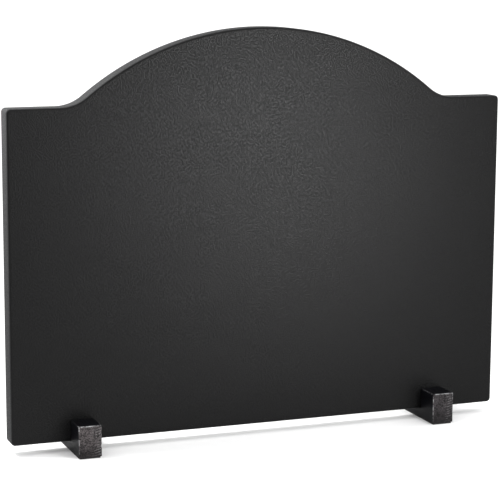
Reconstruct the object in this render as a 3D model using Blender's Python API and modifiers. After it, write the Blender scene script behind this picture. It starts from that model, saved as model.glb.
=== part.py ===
"""Arched fireplace screen: a solid coated panel that stands in two slotted bar feet.

Metres, +Z up. The origin is on the floor under the middle of the panel.
X runs along the panel, and the panel's front faces -Y.
"""

import math

import bpy
from mathutils import Vector

# Panel
PANEL_WIDTH = 0.610
PANEL_THICKNESS = 0.025
SHOULDER_HEIGHT = 0.382  # from the panel's bottom edge
SHOULDER_LENGTH = 0.061  # from the panel's end to the fillet
ARCH_RISE = 0.086  # above the shoulders
ARCH_FILLET_RADIUS = 0.050
PANEL_CORNER_RADIUS = 0.005
PANEL_EDGE_ROUND = 0.0025

# Feet
FOOT_WIDTH = 0.027
FOOT_HEIGHT = 0.0365
FOOT_TOE_LENGTH = 0.033  # in front of the panel
FOOT_HEEL_LENGTH = 0.033  # behind the panel
FOOT_WEB = 0.0112  # left under the slot
FOOT_INSET = 0.083  # from the panel's end to the middle of the foot
FOOT_EDGE_ROUND = 0.0008

# Pads
PAD_THICKNESS = 0.0015
PAD_INSET = 0.001
PAD_CORNER_RADIUS = 0.002

# Clearances
SEAT_GAP = 0.0003  # between pieces that rest on each other
SLOT_GAP = 0.0003  # between the panel and each wall of a slot

ARC_STEP = math.radians(2.0)
CORNER_STEP = math.radians(15.0)
ROUND_SEGMENTS = 2
PANEL_ROUND_RESOLUTION = 2  # inner rows of points across a rounded edge
SHARP_ANGLE = math.radians(30.0)
WELD_DISTANCE = 0.00001

# Heights that follow from the sizes above
FOOT_BOTTOM = PAD_THICKNESS + SEAT_GAP
SLOT_FLOOR = FOOT_BOTTOM + FOOT_WEB
PANEL_BOTTOM = SLOT_FLOOR + SEAT_GAP


def clear_scene():
    for existing in list(bpy.data.objects):
        bpy.data.objects.remove(existing)


def new_collection(name):
    collection = bpy.data.collections.new(name)
    bpy.context.scene.collection.children.link(collection)
    return collection


def move_to(collection, thing):
    for owner in list(thing.users_collection):
        owner.objects.unlink(thing)
    collection.objects.link(thing)


def make_material(name, color, roughness, metallic):
    material = bpy.data.materials.new(name)
    material.use_nodes = True
    shader = material.node_tree.nodes["Principled BSDF"]
    shader.inputs["Base Color"].default_value = (*color, 1.0)
    shader.inputs["Roughness"].default_value = roughness
    shader.inputs["Metallic"].default_value = metallic
    return material


def panel_coat_material():
    return make_material("panel_black_coat", (0.022, 0.022, 0.023), roughness=0.55, metallic=0.0)


def foot_steel_material():
    return make_material("foot_black_steel", (0.012, 0.012, 0.014), roughness=0.42, metallic=0.6)


def pad_rubber_material():
    return make_material("pad_black_rubber", (0.010, 0.010, 0.010), roughness=0.85, metallic=0.0)


def arc_points(center, radius, start, end, step):
    """Points on an arc about center, from the angle start to the angle end, both included."""
    count = max(2, math.ceil(abs(end - start) / step))
    points = []
    for i in range(count + 1):
        angle = start + (end - start) * i / count
        points.append(center + radius * Vector((math.cos(angle), math.sin(angle))))
    return points


def right_half_outline():
    """The panel's outline right of its middle line, from the bottom up to the apex."""
    half = PANEL_WIDTH / 2
    corner = PANEL_CORNER_RADIUS
    fillet = ARCH_FILLET_RADIUS
    right_angle = math.pi / 2
    low_center = Vector((half - corner, corner))
    high_center = Vector((half - corner, SHOULDER_HEIGHT - corner))
    fillet_center = Vector((half - SHOULDER_LENGTH, SHOULDER_HEIGHT + fillet))

    # The arch passes through the apex and touches the fillet from below.
    arch_radius = (fillet_center.x**2 + ARCH_RISE**2) / (2 * ARCH_RISE) - fillet
    arch_center = Vector((0.0, SHOULDER_HEIGHT + ARCH_RISE - arch_radius))
    to_fillet = fillet_center - arch_center
    touch_angle = math.atan2(to_fillet.y, to_fillet.x)

    points = arc_points(low_center, corner, -right_angle, 0.0, CORNER_STEP)
    points += arc_points(high_center, corner, 0.0, right_angle, CORNER_STEP)
    points += arc_points(fillet_center, fillet, -right_angle, touch_angle - math.pi, ARC_STEP)
    points += arc_points(arch_center, arch_radius, touch_angle, right_angle, ARC_STEP)[1:]
    return points


def panel_outline():
    right = right_half_outline()
    left = [Vector((-point.x, point.y)) for point in reversed(right[:-1])]
    return right + left


def round_edges(thing, width):
    bevel = thing.modifiers.new("rounded_edges", "BEVEL")
    bevel.width = width
    bevel.segments = ROUND_SEGMENTS
    bevel.limit_method = "ANGLE"
    bevel.angle_limit = SHARP_ANGLE


def make_panel(collection):
    outline = panel_outline()
    curve = bpy.data.curves.new("arched_panel", "CURVE")
    curve.dimensions = "2D"
    curve.fill_mode = "BOTH"
    curve.extrude = PANEL_THICKNESS / 2 - PANEL_EDGE_ROUND
    curve.offset = -PANEL_EDGE_ROUND
    curve.bevel_depth = PANEL_EDGE_ROUND
    curve.bevel_resolution = PANEL_ROUND_RESOLUTION
    spline = curve.splines.new("POLY")
    spline.points.add(len(outline) - 1)
    for spline_point, point in zip(spline.points, outline):
        spline_point.co = (point.x, point.y, 0.0, 1.0)
    spline.use_cyclic_u = True

    panel = bpy.data.objects.new("arched_panel", curve)
    panel.location = (0.0, 0.0, PANEL_BOTTOM)
    panel.rotation_euler = (math.pi / 2, 0.0, 0.0)
    collection.objects.link(panel)
    weld = panel.modifiers.new("closed_rim", "WELD")
    weld.merge_threshold = WELD_DISTANCE
    curve.materials.append(panel_coat_material())
    return panel


def make_box(name, collection, low, high):
    """A box between two corners that are given from the object's own origin."""
    bpy.ops.mesh.primitive_cube_add(size=1.0)
    box = bpy.context.object
    box.name = name
    box.data.name = name
    low = Vector(low)
    high = Vector(high)
    middle = (low + high) / 2
    size = high - low
    for vertex in box.data.vertices:
        vertex.co = Vector(a * b for a, b in zip(vertex.co, size)) + middle
    move_to(collection, box)
    return box


def make_slot_cutter(name, collection, foot):
    """The slot's space. It runs past the bar's sides and top, so that the cut is clean."""
    overrun = FOOT_WIDTH
    half_width = FOOT_WIDTH / 2 + overrun
    half_slot = PANEL_THICKNESS / 2 + SLOT_GAP
    low = (-half_width, -half_slot, SLOT_FLOOR)
    high = (half_width, half_slot, FOOT_BOTTOM + FOOT_HEIGHT + overrun)
    cutter = make_box(name, collection, low, high)
    cutter.location = foot.location
    cutter.hide_render = True
    cutter.display_type = "WIRE"
    return cutter


def make_foot(side, center_x, parts, cutters, steel):
    """A bar across the panel's bottom edge, with its origin on the line that it pulls off along."""
    front = -PANEL_THICKNESS / 2 - FOOT_TOE_LENGTH
    back = PANEL_THICKNESS / 2 + FOOT_HEEL_LENGTH
    low = (-FOOT_WIDTH / 2, front, FOOT_BOTTOM)
    high = (FOOT_WIDTH / 2, back, FOOT_BOTTOM + FOOT_HEIGHT)
    foot = make_box(f"{side}_foot", parts, low, high)
    foot.location = (center_x, 0.0, 0.0)
    foot.data.materials.append(steel)

    slot = foot.modifiers.new("panel_slot", "BOOLEAN")
    slot.operation = "DIFFERENCE"
    slot.solver = "EXACT"
    slot.object = make_slot_cutter(f"{side}_slot_cutter", cutters, foot)
    round_edges(foot, FOOT_EDGE_ROUND)
    return foot


def make_pad(side, foot, parts, rubber):
    """A thin rubber strip under the whole bar, set in a little from its edges."""
    half_width = FOOT_WIDTH / 2 - PAD_INSET
    front = -PANEL_THICKNESS / 2 - FOOT_TOE_LENGTH + PAD_INSET
    back = PANEL_THICKNESS / 2 + FOOT_HEEL_LENGTH - PAD_INSET
    pad = make_box(f"{side}_foot_pad", parts, (-half_width, front, 0.0), (half_width, back, PAD_THICKNESS))
    pad.parent = foot
    pad.data.materials.append(rubber)

    upright_edges = pad.data.attributes.new("bevel_weight_edge", "FLOAT", "EDGE")
    for edge in pad.data.edges:
        ends = [pad.data.vertices[index].co for index in edge.vertices]
        if abs(ends[0].z - ends[1].z) > PAD_THICKNESS / 2:
            upright_edges.data[edge.index].value = 1.0
    corners = pad.modifiers.new("rounded_corners", "BEVEL")
    corners.width = PAD_CORNER_RADIUS
    corners.segments = ROUND_SEGMENTS
    corners.limit_method = "WEIGHT"
    return pad


def main():
    clear_scene()
    parts = new_collection("fireplace_screen")
    cutters = new_collection("cutters")
    steel = foot_steel_material()
    rubber = pad_rubber_material()

    make_panel(parts)
    foot_offset = PANEL_WIDTH / 2 - FOOT_INSET
    for side, center_x in (("left", -foot_offset), ("right", foot_offset)):
        foot = make_foot(side, center_x, parts, cutters, steel)
        make_pad(side, foot, parts, rubber)


main()
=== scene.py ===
"""The looks of the arched fireplace screen: coated panel, blackened bar feet and rubber pads."""

import math

import bmesh
import bpy
from mathutils import Matrix, Vector, noise


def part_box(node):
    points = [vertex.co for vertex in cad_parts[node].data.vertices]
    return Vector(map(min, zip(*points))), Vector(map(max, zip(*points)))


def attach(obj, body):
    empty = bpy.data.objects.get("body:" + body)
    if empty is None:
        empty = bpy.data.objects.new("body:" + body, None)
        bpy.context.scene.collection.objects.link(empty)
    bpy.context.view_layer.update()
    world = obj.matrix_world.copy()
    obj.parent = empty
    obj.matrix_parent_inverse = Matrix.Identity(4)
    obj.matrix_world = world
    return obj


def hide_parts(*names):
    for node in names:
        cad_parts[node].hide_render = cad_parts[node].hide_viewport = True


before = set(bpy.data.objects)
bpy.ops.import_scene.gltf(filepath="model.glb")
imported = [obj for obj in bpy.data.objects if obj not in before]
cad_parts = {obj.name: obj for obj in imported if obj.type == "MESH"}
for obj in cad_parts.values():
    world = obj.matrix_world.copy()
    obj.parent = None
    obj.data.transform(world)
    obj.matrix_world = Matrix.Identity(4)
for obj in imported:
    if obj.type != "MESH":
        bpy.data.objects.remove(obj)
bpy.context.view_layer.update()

# Panel, in metres. Its width, height and thickness come from the frame.
SHOULDER_HEIGHT = 0.382  # from the panel's bottom edge
SHOULDER_LENGTH = 0.061  # from the panel's end to the fillet
FILLET_RADIUS = 0.050
PANEL_CORNER_RADIUS = 0.005
PANEL_EDGE_ROUND = 0.0025
PANEL_RIM = 0.0012  # flat border that keeps the faces' shading flat
EDGE_COAT_END = 0.45  # where the edges' paler coat ends, as a share of the rounding's depth
EDGE_COAT_BLEND = 0.25
CORNER_STEPS = 10
FILLET_STEPS = 40
ARCH_STEPS = 110
ROUND_STEPS = 6

# Feet. Their outer sizes come from the frame.
SLOT_GAP = 0.0003
FOOT_WEB = 0.0112
FOOT_EDGE_ROUND = 0.0007
FOOT_ROUND_STEPS = 3
FOOT_GRID_ACROSS = 0.00055
FOOT_GRID_ALONG = 0.0022
# The bars' pale edge mark is partly rubbed-bare steel and partly painted highlight. It is strongest on the
# upper edges, where the light catches them.
WEAR_AND_HIGHLIGHT_REACH = 0.0014  # from an edge, over its faces
WEAR_AND_HIGHLIGHT_ALONG = 0.012  # from a bar's end, along its long edges
WEAR_DEPTH = 0.00030
WEAR_AND_HIGHLIGHT_PATCH_MEAN = 0.42
WEAR_AND_HIGHLIGHT_PATCH_SWING = 1.7
WEAR_AND_HIGHLIGHT_LOW_SHARE = 0.35  # the mark low on a bar, as a share of the mark at its top; this fall from top to bottom is painted highlight
WEAR_AND_HIGHLIGHT_FADE_HEIGHT = 0.25  # share of the bar's height over which the mark, rubbed-bare steel and painted highlight, fades out at its bottom edge
SAW_PITCH = 0.0030
SAW_BOW = 0.0022
SAW_WANDER = 0.0007
SAW_DEPTH = 0.00028
SAW_START = 0.40  # share of the end's width where the saw's marks begin
SAW_BLEND = 0.35
SAW_MEAN = 0.55
SAW_SWING = 0.45
GROOVE_SHARPNESS = 2
RIDGE_SHARPNESS = 3
PIT_DEPTH = 0.00006
ROUGH_SCALE = 300.0  # cycles of the relief's fine noise in a metre
ROUGH_FALLOFF = 0.8
ROUGH_LACUNARITY = 2.0
ROUGH_OCTAVES = 3
PATCH_SCALE = 90.0
SEED_STEP = (7.3, 3.1, 5.7)  # how far the noise is moved from one bar to the next
END_FACING = 0.7  # how squarely a face must look along the bar to count as sawn
FOOT_LOOKS = {  # the end's tone where its black is thin, painted paler on the left bar and darker on the right to stand in for how the light falls on them, and how strongly the long and end edges carry the rubbed-bare mark with its painted highlight
    "left": {"thin_black_with_painted_light": (0.068, 0.060, 0.061), "side_wear_and_highlight": 0.06, "end_wear_and_highlight": 1.00},
    "right": {"thin_black_with_painted_light": (0.036, 0.032, 0.034), "side_wear_and_highlight": 0.45, "end_wear_and_highlight": 0.70},
}

# Pads. Their outer sizes come from the frame.
PAD_EDGE_ROUND = 0.0004
PAD_EDGE_STEPS = 2
PAD_CORNER_RADIUS = 0.002
PAD_CORNER_STEPS = 6

# Meshing
SHARP_ANGLE = math.radians(30.0)  # edges sharper than this are rounded
PAD_SHADING_ANGLE = math.radians(40.0)  # edges sharper than this are shaded as a crease
SLICE_TOLERANCE = 1e-6
TINY = 1e-5  # a length that counts as none

# Studio
FLOOR_HALF_SIZE = 40.0
FLOOR_SQUARES = 8
SURROUND_STRENGTH = 1.29
OVERHEAD_STRENGTH = 0.92
OVERHEAD_SPREAD = math.radians(120.0)
SOFTBOXES = [  # name, place, target, width, height, power, degrees that its cone opens
    ("strip_softbox", (0.33, -0.80, 0.29), (0.0, 0.0, 0.29), 0.16, 0.40, 2.55, 120.0),
    ("fill_softbox", (0.55, -1.50, 0.50), (0.0, 0.0, 0.50), 0.40, 0.80, 3.5, 180.0),
    ("rim_softbox", (-0.56, 0.12, 0.64), (-0.25, 0.0, 0.40), 0.16, 0.16, 2.3, 100.0),
    ("back_softbox", (0.40, 1.10, 0.46), (0.0, 0.0, 0.36), 0.14, 0.14, 0.42, 29.0),
]
CAMERA_PLACE = (-0.7746, -1.9797, 0.5785)
CAMERA_YAW = 0.3674
CAMERA_PITCH = 0.1671
CAMERA_ROLL = 0.0051
CAMERA_LENS = 131.95
CAMERA_SENSOR = 36.0
CAMERA_REACH = 100.0


# ---------------------------------------------------------------- node helpers


class Nodes:
    """Short calls for building one material's node tree."""

    def __init__(self, name):
        self.material = bpy.data.materials.new(name)
        self.material.use_nodes = True
        self.tree = self.material.node_tree
        self.shader = self.tree.nodes["Principled BSDF"]
        self.position = self.add("ShaderNodeTexCoord").outputs["Object"]

    def add(self, kind, **settings):
        node = self.tree.nodes.new(kind)
        for key, value in settings.items():
            setattr(node, key, value)
        return node

    def link(self, source, target):
        self.tree.links.new(source, target)

    def fill(self, socket, value):
        if isinstance(value, bpy.types.NodeSocket):
            self.link(value, socket)
        else:
            socket.default_value = value

    def stretched(self, scale):
        """The object's own coordinates, each axis stretched by its own scale."""
        node = self.add("ShaderNodeMapping")
        node.inputs["Scale"].default_value = scale
        self.link(self.position, node.inputs["Vector"])
        return node.outputs["Vector"]

    def up(self):
        """The height above the floor, in metres."""
        node = self.add("ShaderNodeSeparateXYZ")
        self.link(self.position, node.inputs["Vector"])
        return node.outputs["Z"]

    def noise(self, scale, detail=2.0, roughness=0.5, vector=None):
        node = self.add("ShaderNodeTexNoise")
        node.inputs["Scale"].default_value = scale
        node.inputs["Detail"].default_value = detail
        node.inputs["Roughness"].default_value = roughness
        self.link(vector or self.position, node.inputs["Vector"])
        return node.outputs["Fac"]

    def math(self, operation, a, b=0.0):
        node = self.add("ShaderNodeMath", operation=operation)
        self.fill(node.inputs[0], a)
        self.fill(node.inputs[1], b)
        return node.outputs["Value"]

    def ramp(self, value, low, high, to_low=0.0, to_high=1.0):
        node = self.add("ShaderNodeMapRange", interpolation_type="SMOOTHSTEP")
        self.fill(node.inputs["Value"], value)
        node.inputs["From Min"].default_value = low
        node.inputs["From Max"].default_value = high
        node.inputs["To Min"].default_value = to_low
        node.inputs["To Max"].default_value = to_high
        return node.outputs["Result"]

    def mix(self, factor, a, b):
        node = self.add("ShaderNodeMix", data_type="RGBA")
        self.fill(node.inputs["Factor"], factor)
        self.fill(node.inputs["A"], a if isinstance(a, bpy.types.NodeSocket) else (*a, 1.0))
        self.fill(node.inputs["B"], b if isinstance(b, bpy.types.NodeSocket) else (*b, 1.0))
        return node.outputs["Result"]

    def attribute(self, name):
        node = self.add("ShaderNodeAttribute", attribute_name=name)
        return node.outputs["Fac"]

    def bump(self, height, strength, distance):
        node = self.add("ShaderNodeBump")
        node.inputs["Strength"].default_value = strength
        node.inputs["Distance"].default_value = distance
        self.link(height, node.inputs["Height"])
        return node.outputs["Normal"]

    def finish(self, color, roughness, normal, specular=0.5):
        self.fill(self.shader.inputs["Base Color"], color)
        self.fill(self.shader.inputs["Roughness"], roughness)
        self.shader.inputs["Specular IOR Level"].default_value = specular
        self.link(normal, self.shader.inputs["Normal"])
        return self.material


# ------------------------------------------------------------------- materials


def panel_coat():
    """Matt black coat with a fine textured grain, which lies paler and rougher on the slab's edges."""
    nodes = Nodes("textured_black_coat")
    grain = nodes.noise(640.0, detail=1.5)
    specks = nodes.noise(1300.0, detail=1.0)
    clouds = nodes.noise(7.0, detail=3.0)
    on_edge = nodes.attribute("edge")
    height = nodes.math("ADD", grain, nodes.math("MULTIPLY", specks, 0.15))
    pale_grain = nodes.ramp(grain, 0.35, 0.65)
    face_black = nodes.mix(pale_grain, (0.0010, 0.0010, 0.0011), (0.0030, 0.0030, 0.0031))
    edge_black = nodes.mix(pale_grain, (0.015, 0.015, 0.0155), (0.021, 0.021, 0.0215))
    color = nodes.mix(on_edge, face_black, edge_black)
    grain_roughness = nodes.ramp(grain, 0.38, 0.62, 0.44, 0.19)
    face_roughness = nodes.math("ADD", nodes.ramp(clouds, 0.3, 0.7, -0.01, 0.01), grain_roughness)
    roughness = nodes.math("ADD", face_roughness, nodes.math("MULTIPLY", on_edge, 0.40))
    normal = nodes.bump(height, 0.75, 0.0006)
    return nodes.finish(color, roughness, normal, specular=0.105)


def foot_steel():
    """Blackened bar steel, a little glossy, rubbed bare in spots along its edges, with painted highlight: the
    pale spots are strongest on the upper edges, where the light catches them.
    """
    nodes = Nodes("blackened_steel")
    streaks = nodes.noise(60.0, detail=4.0, vector=nodes.stretched((9.0, 1.0, 9.0)))
    pits = nodes.noise(900.0, detail=2.0)
    chips = nodes.ramp(nodes.noise(520.0, detail=3.0), 0.38, 0.55)
    # Rubbed-bare steel and painted highlight: pale grey along the edges, following the bar's edge mark.
    bare_and_highlight = nodes.math("MULTIPLY", nodes.attribute("wear_and_highlight"), chips)
    black = nodes.mix(nodes.ramp(streaks, 0.3, 0.7), (0.0016, 0.0016, 0.0022), (0.0045, 0.0045, 0.0058))
    color = nodes.mix(bare_and_highlight, black, (0.34, 0.34, 0.35))
    roughness = nodes.ramp(streaks, 0.3, 0.7, 0.40, 0.52)
    height = nodes.math("ADD", nodes.math("MULTIPLY", pits, 0.5), streaks)
    normal = nodes.bump(height, 0.25, 0.0003)
    return nodes.finish(color, roughness, normal, specular=0.045)


def foot_sawn_end(side, thin_black_with_painted_light):
    """Sawn steel under thin black: mottled brown-grey, with painted shade near the floor and in the saw's
    grooves, the saw's ridges rubbed pale, and rubbed-bare edges with painted highlight.
    """
    nodes = Nodes(f"{side}_sawn_steel")
    blotches = nodes.noise(110.0, detail=3.0, roughness=0.6)
    grit = nodes.noise(820.0, detail=2.0, roughness=0.7)
    mottled = nodes.math("ADD", nodes.math("MULTIPLY", blotches, 0.32), nodes.math("MULTIPLY", grit, 0.68))
    groove = nodes.attribute("groove")
    ridge = nodes.math("MULTIPLY", nodes.attribute("ridge"), nodes.ramp(grit, 0.38, 0.58))
    chips = nodes.ramp(nodes.noise(520.0, detail=3.0), 0.36, 0.50)
    # Rubbed-bare steel and painted highlight on the end's edges, following the bar's edge mark.
    bare_and_highlight = nodes.math("MULTIPLY", nodes.attribute("wear_and_highlight"), chips)
    # Painted shade: the end is painted darker low down, near the floor.
    off_floor = nodes.ramp(nodes.up(), 0.002, 0.024, 0.30)
    thinness_and_floor_shade = nodes.math("MULTIPLY", nodes.ramp(mottled, 0.40, 0.60), off_floor)
    # The end's tone where its black is thin also carries painted light: paler on the left bar, darker on the
    # right.
    brown = nodes.mix(thinness_and_floor_shade, (0.0022, 0.0019, 0.0020), thin_black_with_painted_light)
    ridged = nodes.mix(ridge, brown, (0.20, 0.195, 0.20))
    # Painted shade: the saw's grooves are painted darker.
    with_painted_groove_shade = nodes.mix(nodes.math("MULTIPLY", groove, 0.85), ridged, (0.004, 0.0035, 0.004))
    color = nodes.mix(bare_and_highlight, with_painted_groove_shade, (0.42, 0.42, 0.43))
    roughness = nodes.ramp(mottled, 0.35, 0.65, 0.60, 0.78)
    normal = nodes.bump(mottled, 0.6, 0.0005)
    return nodes.finish(color, roughness, normal, specular=0.10)


def pad_rubber():
    """Dull black rubber with a fine leathery grain."""
    nodes = Nodes("black_rubber")
    grain = nodes.noise(1600.0, detail=2.0)
    dust = nodes.noise(70.0, detail=3.0)
    color = nodes.mix(nodes.ramp(dust, 0.4, 0.7), (0.008, 0.008, 0.008), (0.014, 0.014, 0.014))
    roughness = nodes.ramp(dust, 0.3, 0.7, 0.80, 0.92)
    normal = nodes.bump(grain, 0.4, 0.0003)
    return nodes.finish(color, roughness, normal)


def pale_floor():
    nodes = Nodes("pale_floor")
    grain = nodes.noise(90.0, detail=2.0)
    color = nodes.mix(nodes.ramp(grain, 0.3, 0.7), (0.905, 0.905, 0.905), (0.915, 0.915, 0.915))
    normal = nodes.bump(grain, 0.02, 0.0002)
    return nodes.finish(color, 0.9, normal, specular=0.1)


# ----------------------------------------------------------------------- panel


def clamp(value):
    return min(1.0, max(0.0, value))


def arc(center, radius, start, end, steps):
    points = []
    for i in range(steps + 1):
        angle = start + (end - start) * i / steps
        points.append(center + radius * Vector((math.cos(angle), math.sin(angle))))
    return points


def panel_outline(width, height, inset):
    """The outline at a distance inside the real one, as (along, up) points from its bottom middle."""
    half = width / 2
    rise = height - SHOULDER_HEIGHT
    right_angle = math.pi / 2
    corner = PANEL_CORNER_RADIUS
    low_center = Vector((half - corner, corner))
    high_center = Vector((half - corner, SHOULDER_HEIGHT - corner))
    fillet_center = Vector((half - SHOULDER_LENGTH, SHOULDER_HEIGHT + FILLET_RADIUS))
    arch_radius = (fillet_center.x**2 + rise**2) / (2 * rise) - FILLET_RADIUS
    arch_center = Vector((0.0, height - arch_radius))
    to_fillet = fillet_center - arch_center
    touch = math.atan2(to_fillet.y, to_fillet.x)

    right = arc(low_center, corner - inset, -right_angle, 0.0, CORNER_STEPS)
    right += arc(high_center, corner - inset, 0.0, right_angle, CORNER_STEPS)
    right += arc(fillet_center, FILLET_RADIUS + inset, -right_angle, touch - math.pi, FILLET_STEPS)
    right += arc(arch_center, arch_radius - inset, touch, right_angle, ARCH_STEPS)[1:]
    left = [Vector((-point.x, point.y)) for point in reversed(right[:-1])]
    return right + left


def mesh_object(name, mesh, materials):
    piece = bpy.data.objects.new(name, mesh)
    bpy.context.scene.collection.objects.link(piece)
    for material in materials:
        mesh.materials.append(material)
    return piece


def make_panel():
    """A slab whose outline is rounded over to both faces, ring by ring from front to back."""
    low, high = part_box("arched_panel")
    middle = (low + high) / 2
    size = high - low
    edge = PANEL_EDGE_ROUND
    half_thickness = size.y / 2

    turned = []
    for i in range(ROUND_STEPS + 1):
        angle = math.pi / 2 * i / ROUND_STEPS
        turned.append((edge * (1 - math.sin(angle)), half_thickness - edge * (1 - math.cos(angle))))
    front_rings = [(edge + PANEL_RIM, half_thickness), *turned]
    rings = [(inset, -depth) for inset, depth in front_rings]
    rings += [(inset, depth) for inset, depth in reversed(front_rings)]

    work = bmesh.new()
    edge_layer = work.verts.layers.float.new("edge")
    loops = []
    for inset, depth in rings:
        points = panel_outline(size.x, size.z, inset)
        loop = [work.verts.new((middle.x + p.x, middle.y + depth, low.z + p.y)) for p in points]
        for vertex in loop:
            vertex[edge_layer] = clamp((EDGE_COAT_END - inset / edge) / EDGE_COAT_BLEND)
        loops.append(loop)
    for before, after in zip(loops, loops[1:]):
        for i in range(len(before)):
            j = (i + 1) % len(before)
            work.faces.new((before[i], before[j], after[j], after[i]))
    work.faces.new(loops[0])
    work.faces.new(list(reversed(loops[-1])))
    bmesh.ops.recalc_face_normals(work, faces=work.faces)
    mesh = bpy.data.meshes.new("panel")
    work.to_mesh(mesh)
    work.free()
    mesh.shade_smooth()

    panel = mesh_object("panel", mesh, [panel_coat()])
    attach(panel, "panel")
    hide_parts("arched_panel")


# ------------------------------------------------------------------------ feet


def add_block(work, low, high):
    """A box as six faces on eight new corners."""
    made = bmesh.ops.create_cube(work, size=1.0)
    for vertex in made["verts"]:
        vertex.co = Vector(low[i] if vertex.co[i] < 0 else high[i] for i in range(3))


def slotted_bar(low, high, slot_low, slot_high, slot_floor):
    """A closed bar with a slot across its top. Each side is five four-sided faces that share corners."""
    profile = [
        (low.y, low.z), (slot_low, low.z), (slot_high, low.z), (high.y, low.z),
        (high.y, slot_floor), (high.y, high.z), (slot_high, high.z), (slot_high, slot_floor),
        (slot_low, slot_floor), (slot_low, high.z), (low.y, high.z), (low.y, slot_floor),
    ]
    cells = [(0, 1, 8, 11), (1, 2, 7, 8), (2, 3, 4, 7), (11, 8, 9, 10), (7, 4, 5, 6)]
    work = bmesh.new()
    sides = [[work.verts.new((x, y, z)) for y, z in profile] for x in (low.x, high.x)]
    for cell in cells:
        work.faces.new([sides[0][i] for i in cell])
        work.faces.new([sides[1][i] for i in reversed(cell)])
    for i in range(len(profile)):
        j = (i + 1) % len(profile)
        work.faces.new((sides[0][i], sides[0][j], sides[1][j], sides[1][i]))
    bmesh.ops.recalc_face_normals(work, faces=work.faces)
    return work


def round_sharp_edges(work, width, steps):
    sharp = [edge for edge in work.edges if edge.calc_face_angle(0.0) > SHARP_ANGLE]
    bmesh.ops.bevel(
        work, geom=sharp, offset=width, offset_type="OFFSET", segments=steps,
        profile=0.5, affect="EDGES", clamp_overlap=True,
    )


def slice_grid(work, low, high, axis, spacing):
    """Cuts the mesh into even strips along one axis, so that relief can be pressed into it."""
    normal = Vector((0.0, 0.0, 0.0))
    normal[axis] = 1.0
    count = round((high[axis] - low[axis]) / spacing)
    for i in range(1, count):
        point = Vector(low)
        point[axis] = low[axis] + (high[axis] - low[axis]) * i / count
        geometry = work.verts[:] + work.edges[:] + work.faces[:]
        bmesh.ops.bisect_plane(work, geom=geometry, plane_co=point, plane_no=normal, dist=SLICE_TOLERANCE)


def make_foot(side, seed, look, steel):
    low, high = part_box(f"{side}_foot")
    panel_low, panel_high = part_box("arched_panel")
    work = slotted_bar(
        low, high, panel_low.y - SLOT_GAP, panel_high.y + SLOT_GAP, low.z + FOOT_WEB
    )
    round_sharp_edges(work, FOOT_EDGE_ROUND, FOOT_ROUND_STEPS)
    slice_grid(work, low, high, 0, FOOT_GRID_ACROSS)
    slice_grid(work, low, high, 1, FOOT_GRID_ALONG)
    slice_grid(work, low, high, 2, FOOT_GRID_ACROSS)
    press_relief(work, low, high, seed, look)

    mesh = bpy.data.meshes.new(f"{side}_bar")
    work.to_mesh(mesh)
    work.free()
    mesh.shade_smooth()
    foot = mesh_object(f"{side}_bar", mesh, [steel, foot_sawn_end(side, look["thin_black_with_painted_light"])])
    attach(foot, f"{side}_foot")
    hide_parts(f"{side}_foot")


def wear_and_highlight_amount(from_side, up, rough, look):
    """How bare a point on a bar is, with painted highlight: most along the upper edges of its ends, where the
    light catches them, and in patches.
    """
    to_second_side = sorted(from_side)[1]
    nearness = max(0.0, 1.0 - to_second_side / WEAR_AND_HIGHLIGHT_REACH)
    near_end = max(0.0, 1.0 - from_side[1] / WEAR_AND_HIGHLIGHT_ALONG)
    patchy = clamp(WEAR_AND_HIGHLIGHT_PATCH_MEAN + WEAR_AND_HIGHLIGHT_PATCH_SWING * rough)
    # Painted highlight: the mark weakens lower down and fades out at the floor, where the edges catch less
    # light.
    off_floor = min(1.0, up / WEAR_AND_HIGHLIGHT_FADE_HEIGHT) * (WEAR_AND_HIGHLIGHT_LOW_SHARE + (1 - WEAR_AND_HIGHLIGHT_LOW_SHARE) * up)
    along = look["side_wear_and_highlight"]
    return nearness * patchy * (along + (look["end_wear_and_highlight"] - along) * near_end) * off_floor


def saw_wave(across, place, rough):
    """The saw's marks as a wave: above 0 in a groove and below 0 on a ridge, strongest on one side."""
    bow = SAW_BOW * math.sin(math.pi * across)
    wave = math.sin(2 * math.pi * (place.z + bow + SAW_WANDER * rough) / SAW_PITCH)
    return wave * clamp((across - SAW_START) / SAW_BLEND)


def press_relief(work, low, high, seed, look):
    """Wears the bar's edges and presses the saw's marks into its two ends, always inwards."""
    wear_and_highlight = work.verts.layers.float.new("wear_and_highlight")
    groove = work.verts.layers.float.new("groove")
    ridge = work.verts.layers.float.new("ridge")
    offset = seed * Vector(SEED_STEP)
    size = high - low
    moves = {}
    for vertex in work.verts:
        place = vertex.co
        from_side = [min(place[i] - low[i], high[i] - place[i]) for i in range(3)]
        across = (place.x - low.x) / size.x
        up = (place.z - low.z) / size.z
        rough = noise.fractal(
            place * ROUGH_SCALE + offset, ROUGH_FALLOFF, ROUGH_LACUNARITY, ROUGH_OCTAVES
        )
        # The bar's edge mark: rubbed-bare steel and painted highlight. It also sets how deep the worn edges
        # are pressed in.
        vertex[wear_and_highlight] = wear_and_highlight_amount(from_side, up, rough, look)
        depth = WEAR_DEPTH * vertex[wear_and_highlight]
        if from_side[1] < TINY:
            wave = saw_wave(across, place, rough)
            strength = SAW_MEAN + SAW_SWING * noise.noise(place * PATCH_SCALE + offset)
            vertex[groove] = max(0.0, wave) ** GROOVE_SHARPNESS * strength
            vertex[ridge] = max(0.0, -wave) ** RIDGE_SHARPNESS * strength
            depth += SAW_DEPTH * vertex[groove] + PIT_DEPTH * max(0.0, rough)
        moves[vertex] = -vertex.normal * depth
    for vertex, move in moves.items():
        vertex.co += move
    for face in work.faces:
        middle = face.calc_center_median()
        to_end = min(middle.y - low.y, high.y - middle.y)
        if abs(face.normal.y) > END_FACING and to_end < FOOT_EDGE_ROUND:
            face.material_index = 1


# ------------------------------------------------------------------------ pads


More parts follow.
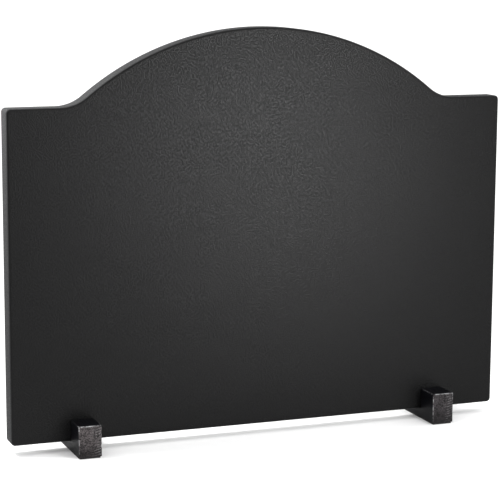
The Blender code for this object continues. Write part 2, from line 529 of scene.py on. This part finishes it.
def make_pad(side, rubber):
    low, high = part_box(f"{side}_foot_pad")
    work = bmesh.new()
    add_block(work, low, high)
    upright = [edge for edge in work.edges if abs(edge.verts[0].co.z - edge.verts[1].co.z) > TINY]
    bmesh.ops.bevel(
        work, geom=upright, offset=PAD_CORNER_RADIUS, offset_type="OFFSET", segments=PAD_CORNER_STEPS,
        profile=0.5, affect="EDGES",
    )
    round_sharp_edges(work, PAD_EDGE_ROUND, PAD_EDGE_STEPS)
    mesh = bpy.data.meshes.new(f"{side}_pad")
    work.to_mesh(mesh)
    work.free()
    mesh.shade_smooth()
    mesh.set_sharp_from_angle(angle=PAD_SHADING_ANGLE)
    pad = mesh_object(f"{side}_pad", mesh, [rubber])
    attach(pad, f"{side}_foot")
    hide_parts(f"{side}_foot_pad")


# ---------------------------------------------------------------------- studio


def make_floor():
    work = bmesh.new()
    bmesh.ops.create_grid(work, x_segments=FLOOR_SQUARES, y_segments=FLOOR_SQUARES, size=FLOOR_HALF_SIZE)
    mesh = bpy.data.meshes.new("floor")
    work.to_mesh(mesh)
    work.free()
    floor = mesh_object("floor", mesh, [pale_floor()])


def make_softbox(name, place, target, width, height, power, cone):
    data = bpy.data.lights.new(name, "AREA")
    data.shape = "RECTANGLE"
    data.size = width
    data.size_y = height
    data.energy = power
    data.spread = math.radians(cone)
    light = bpy.data.objects.new(name, data)
    light.location = place
    direction = Vector(target) - Vector(place)
    light.rotation_euler = direction.to_track_quat("-Z", "Y").to_euler()
    light.visible_camera = False
    bpy.context.scene.collection.objects.link(light)


def make_lights():
    """A white surround, a broad overhead light, and softboxes for the front, the left rim and the back."""
    world = bpy.data.worlds.new("studio")
    world.use_nodes = True
    surround = world.node_tree.nodes["Background"]
    surround.inputs["Color"].default_value = (1.0, 1.0, 1.0, 1.0)
    surround.inputs["Strength"].default_value = SURROUND_STRENGTH
    bpy.context.scene.world = world
    overhead = bpy.data.lights.new("overhead_light", "SUN")
    overhead.energy = OVERHEAD_STRENGTH
    overhead.angle = OVERHEAD_SPREAD
    bpy.context.scene.collection.objects.link(bpy.data.objects.new("overhead_light", overhead))
    for softbox in SOFTBOXES:
        make_softbox(*softbox)


def make_camera():
    data = bpy.data.cameras.new("camera")
    data.sensor_width = CAMERA_SENSOR
    data.lens = CAMERA_LENS
    data.clip_end = CAMERA_REACH
    camera = bpy.data.objects.new("camera", data)
    turn = (
        Matrix.Rotation(-CAMERA_YAW, 4, "Z")
        @ Matrix.Rotation(math.pi / 2 - CAMERA_PITCH, 4, "X")
        @ Matrix.Rotation(CAMERA_ROLL, 4, "Z")
    )
    camera.matrix_world = Matrix.Translation(CAMERA_PLACE) @ turn
    bpy.context.scene.collection.objects.link(camera)
    bpy.context.scene.camera = camera


def main():
    bpy.context.scene.view_settings.view_transform = "Standard"
    make_camera()
    make_panel()
    steel = foot_steel()
    rubber = pad_rubber()
    for seed, (side, look) in enumerate(FOOT_LOOKS.items(), start=1):
        make_foot(side, seed, look, steel)
        make_pad(side, rubber)
    make_floor()
    make_lights()


main()
